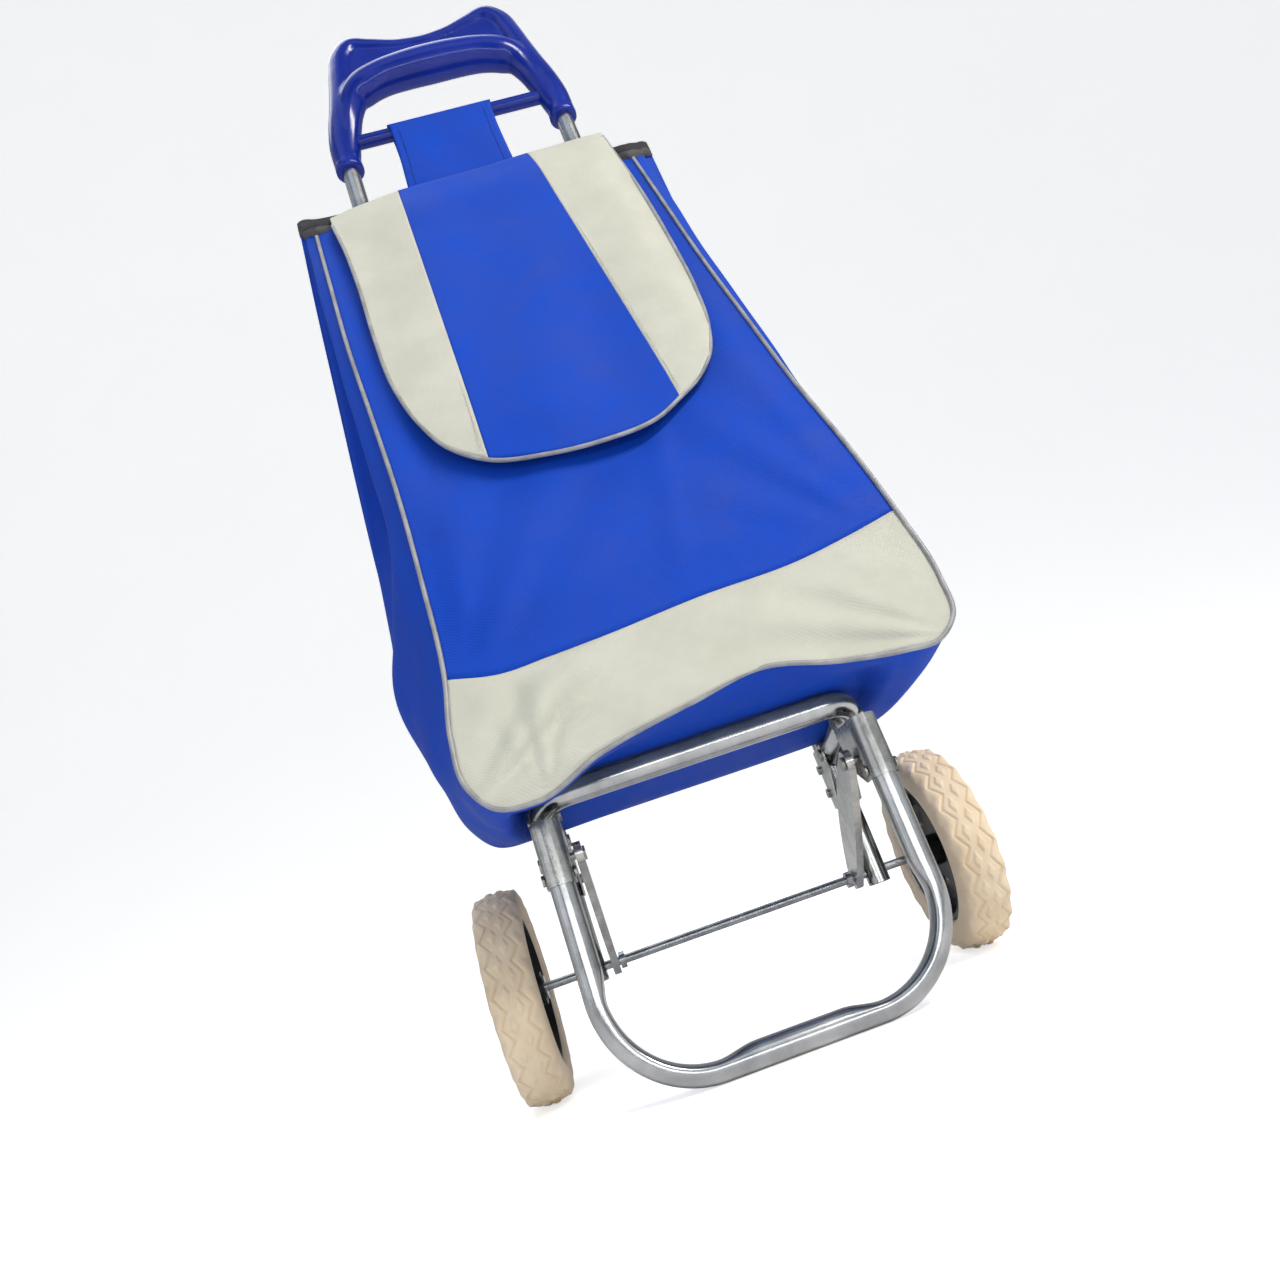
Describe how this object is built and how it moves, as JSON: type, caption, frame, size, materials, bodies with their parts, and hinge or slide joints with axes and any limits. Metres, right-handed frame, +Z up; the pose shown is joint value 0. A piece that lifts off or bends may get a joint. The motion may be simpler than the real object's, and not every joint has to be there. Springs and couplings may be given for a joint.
{
  "type": "shopping trolley bag",
  "caption": "Two-wheeled folding trolley with a tall tapered cloth bag, a flap lid, a tube frame and a looped handle.",
  "frame": {"origin": "on the floor, under the middle of the overall box of the trolley standing on its wheels and foot bar", "axes": "+Z up; +Y to the back, the way the uprights lean; +X to the right of someone facing the bag front"},
  "size_m": [0.36, 0.2831, 0.9839],
  "materials": {
    "plated_tube": "satin",
    "plated_sheet": "satin",
    "steel_rod": "satin",
    "pin_steel": "satin",
    "cream_tyre": "matte",
    "black_rim": "satin",
    "blue_moulding": "gloss",
    "blue_cloth": "matte",
    "beige_cloth": "matte",
    "grey_piping": "satin",
    "dark_binding": "matte",
    "board": "matte"
  },
  "bodies": {
    "frame": {"upright_left": "plated_tube", "upright_right": "plated_tube", "rear_bracket_left": "plated_sheet", "rear_bracket_right": "plated_sheet", "rear_rivets": "pin_steel", "platform_pivot_pins": "pin_steel", "axle": "steel_rod", "axle_clips": "steel_rod", "axle_washers": "steel_rod", "axle_caps": "black_rim", "handle": "blue_moulding", "handle_crossbar": "blue_moulding", "handle_screws": "pin_steel", "bag_front": "blue_cloth", "bag_back": "blue_cloth", "bag_base": "blue_cloth", "bag_gusset_left": "blue_cloth", "bag_gusset_right": "blue_cloth", "bag_mouth_binding": "dark_binding", "bag_board": "board", "bag_piping": "grey_piping", "hang_strap": "blue_cloth", "frame_loops": "dark_binding"},
    "platform": {"platform_loop": "plated_tube"},
    "foot": {"foot_loop": "plated_tube", "foot_bracket_left": "plated_sheet", "foot_bracket_right": "plated_sheet", "foot_rivets": "pin_steel", "knee_pins": "pin_steel", "strut_pins": "pin_steel"},
    "strut_left": {"strut_left": "plated_sheet"},
    "strut_right": {"strut_right": "plated_sheet"},
    "wheel_left": {"tyre_left": "cream_tyre", "rim_left": "black_rim"},
    "wheel_right": {"tyre_right": "cream_tyre", "rim_right": "black_rim"},
    "flap": {"flap": "beige_cloth", "flap_piping": "grey_piping"}
  },
  "joints": [
    {"name": "platform_fold", "type": "hinge", "parent": "frame", "child": "platform", "pos_m": [0, 0.00169, 0.16074], "axis": [-1, 0, 0], "range_deg": [0, 82], "deforming": ["bag_front", "bag_back", "bag_base", "bag_gusset_left", "bag_gusset_right", "bag_board", "bag_piping"]},
    {"name": "foot_fold", "type": "hinge", "parent": "platform", "child": "foot", "pos_m": [0, -0.06191, 0.17566], "axis": [-1, 0, 0], "range_deg": [-82.5, 0.5]},
    {"name": "strut_left_fold", "type": "hinge", "parent": "foot", "child": "strut_left", "pos_m": [-0.0926, -0.07977, 0.14725], "axis": [-1, 0, 0], "range_deg": [-0.5, 45.77]},
    {"name": "strut_right_fold", "type": "hinge", "parent": "foot", "child": "strut_right", "pos_m": [0.0926, -0.07977, 0.14725], "axis": [-1, 0, 0], "range_deg": [-0.5, 45.77]},
    {"name": "wheel_left_spin", "type": "hinge", "parent": "frame", "child": "wheel_left", "pos_m": [-0.1565, 0.00917, 0.072], "axis": [1, 0, 0], "continuous": true},
    {"name": "wheel_right_spin", "type": "hinge", "parent": "frame", "child": "wheel_right", "pos_m": [0.1565, 0.00917, 0.072], "axis": [1, 0, 0], "continuous": true},
    {"name": "flap_lift", "type": "hinge", "parent": "frame", "child": "flap", "pos_m": [0, 0.08687, 0.76176], "axis": [-1, 0, 0], "range_deg": [0, 92]}
  ],
  "couplings": [
    {"joint": "foot_fold", "follows": "platform_fold", "ratio": -1},
    {"joint": "strut_left_fold", "follows": "platform_fold", "ratio": 0.55201},
    {"joint": "strut_right_fold", "follows": "platform_fold", "ratio": 0.55201}
  ]
}
